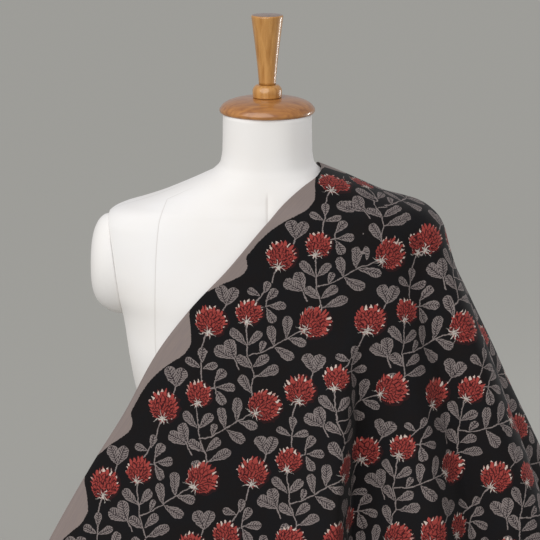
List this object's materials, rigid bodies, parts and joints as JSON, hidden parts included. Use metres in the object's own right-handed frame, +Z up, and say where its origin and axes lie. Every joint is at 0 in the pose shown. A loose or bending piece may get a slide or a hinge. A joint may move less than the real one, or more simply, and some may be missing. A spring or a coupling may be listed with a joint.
{
  "type": "block-printed cotton fabric draped on a dress form",
  "caption": "Black cotton block-printed with red clover heads and grey leaves, draped over one shoulder of a white tabletop dress form with a wooden cap and handle.",
  "frame": {"origin": "middle of the dress form's flat base, on the surface it stands on", "axes": "+Z up through the handle, the form's front towards -Y, +X towards the shoulder that the cloth hangs over"},
  "size_m": [0.7721, 0.3906, 0.7991],
  "materials": {
    "printed_cotton": "matte plain-woven cotton, block printed",
    "cotton_cover": "matte stretched cotton over padding",
    "varnished_beech": "turned, varnished"
  },
  "bodies": {
    "root": {"cloth": "printed_cotton", "torso": "cotton_cover", "arm_stub_left": "cotton_cover", "arm_stub_right": "cotton_cover", "neck_cap": "varnished_beech", "finial_collar": "varnished_beech", "finial_handle": "varnished_beech"}
  },
  "joints": []
}
